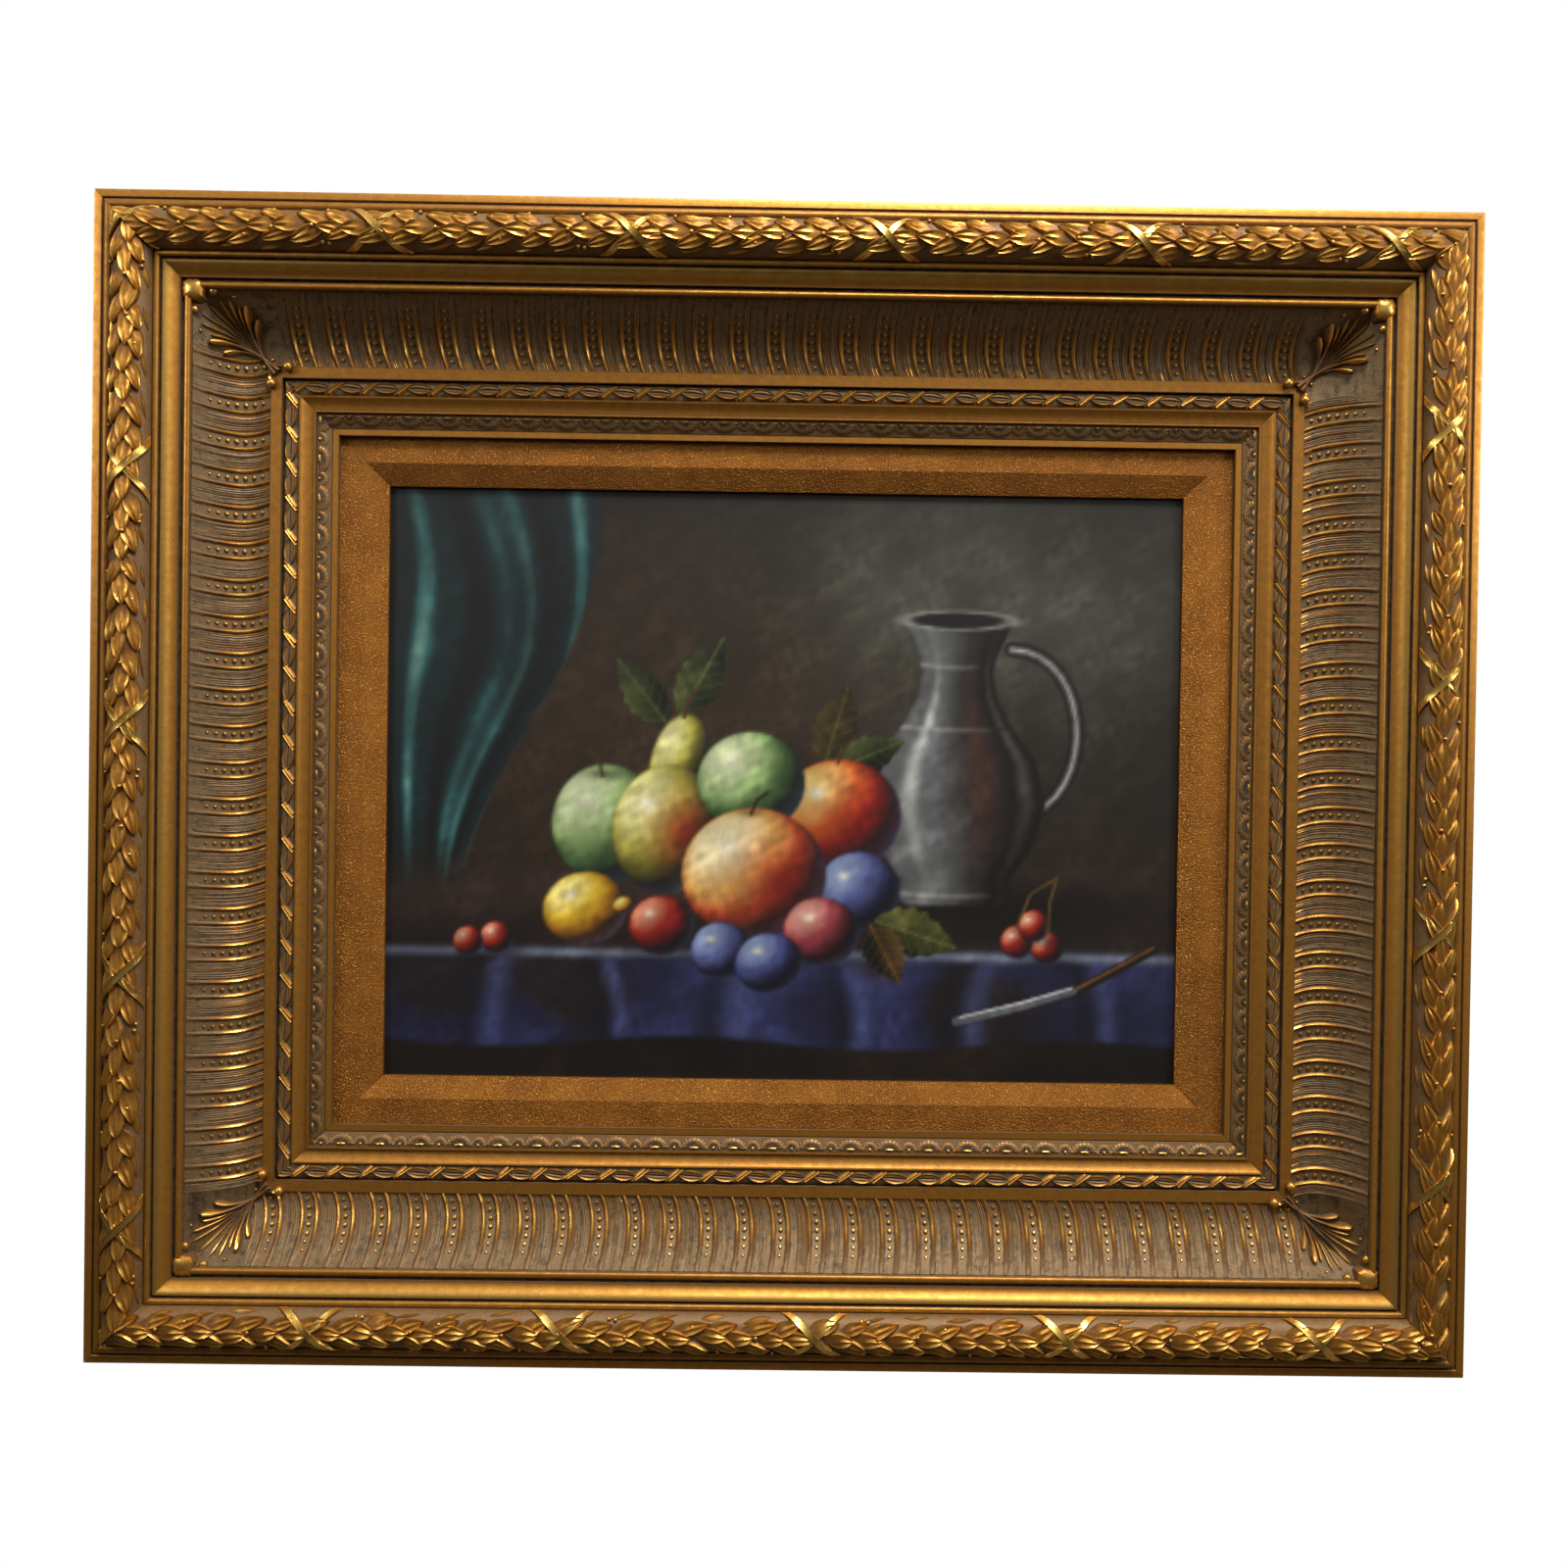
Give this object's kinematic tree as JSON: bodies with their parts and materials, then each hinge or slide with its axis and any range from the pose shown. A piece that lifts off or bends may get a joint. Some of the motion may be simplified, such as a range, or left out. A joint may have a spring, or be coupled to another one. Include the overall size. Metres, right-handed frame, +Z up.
{
  "type": "framed oil painting",
  "caption": "Oil painting on stretched canvas in a deep gilt frame with a laurel border, ribbed cove, cast corner sprays and a speckled liner.",
  "frame": {"origin": "middle of the top rail's flat back face, where the frame bears on the wall", "axes": "+X to the right seen from the front, +Y into the wall, +Z up; the picture faces -Y"},
  "size_m": [0.6532, 0.0692, 0.5516],
  "materials": {
    "gilded_moulding": "antique gold leaf over wood and composition, worn bright on the crests, grey-brown wash in the hollows",
    "gilded_casting": "antique gold over cast composition, bright on the crests",
    "speckled_liner": "sponged and speckled satin gold",
    "painted_canvas": "varnished oil paint with low brush marks, bare primed weave on the back",
    "bare_pine": "bare planed pine"
  },
  "bodies": {
    "root": {"outer_rail_top": "gilded_moulding", "outer_rail_bottom": "gilded_moulding", "outer_rail_left": "gilded_moulding", "outer_rail_right": "gilded_moulding", "inner_rail_top": "gilded_moulding", "inner_rail_bottom": "gilded_moulding", "inner_rail_left": "gilded_moulding", "inner_rail_right": "gilded_moulding", "liner_top": "speckled_liner", "liner_bottom": "speckled_liner", "liner_left": "speckled_liner", "liner_right": "speckled_liner", "corner_spray_top_left": "gilded_casting", "corner_spray_top_right": "gilded_casting", "corner_spray_bottom_left": "gilded_casting", "corner_spray_bottom_right": "gilded_casting", "canvas": "painted_canvas", "stretcher_top": "bare_pine", "stretcher_bottom": "bare_pine", "stretcher_left": "bare_pine", "stretcher_right": "bare_pine"}
  },
  "joints": []
}
